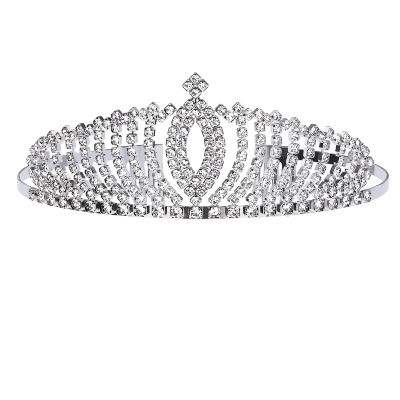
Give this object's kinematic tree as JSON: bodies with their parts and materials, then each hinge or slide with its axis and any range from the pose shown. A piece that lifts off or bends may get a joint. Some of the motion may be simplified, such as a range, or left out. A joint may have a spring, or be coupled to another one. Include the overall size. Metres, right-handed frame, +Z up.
{
  "type": "rhinestone tiara",
  "caption": "Silver-coloured tiara: a flat headband strip with side combs at its ends and a pierced, scalloped wall of clear rhinestones in claw cups on its front.",
  "frame": {"origin": "middle of the footprint, on the surface that the tiara rests on: its front touches with the strip's lower edge, and its back with the comb tips", "axes": "+X to the wearer's left when worn with the crown in front (the right-hand side in the picture), -Y to the front, +Z up. At rest the headband is tipped about 10 degrees nose down about X"},
  "size_m": [0.15, 0.1608, 0.0548],
  "materials": {
    "silver_plate": "polished silver-coloured plating",
    "comb_steel": "polished pressed steel",
    "crystal": "clear cut glass with a foiled back"
  },
  "bodies": {
    "root": {"soldered_frame": "silver_plate", "comb_left": "comb_steel", "comb_right": "comb_steel", "base_row_stones": "crystal", "oval_outer_stones": "crystal", "oval_inner_stones": "crystal", "finial_stones": "crystal", "top_edge_left_stones": "crystal", "top_edge_right_stones": "crystal", "rib_left_1_stones": "crystal", "rib_left_2_stones": "crystal", "rib_left_3_stones": "crystal", "rib_left_4_stones": "crystal", "rib_left_5_stones": "crystal", "rib_left_6_stones": "crystal", "rib_left_7_stones": "crystal", "rib_left_8_stones": "crystal", "rib_left_9_stones": "crystal", "rib_left_10_stones": "crystal", "rib_right_1_stones": "crystal", "rib_right_2_stones": "crystal", "rib_right_3_stones": "crystal", "rib_right_4_stones": "crystal", "rib_right_5_stones": "crystal", "rib_right_6_stones": "crystal", "rib_right_7_stones": "crystal", "rib_right_8_stones": "crystal", "rib_right_9_stones": "crystal", "rib_right_10_stones": "crystal"}
  },
  "joints": []
}
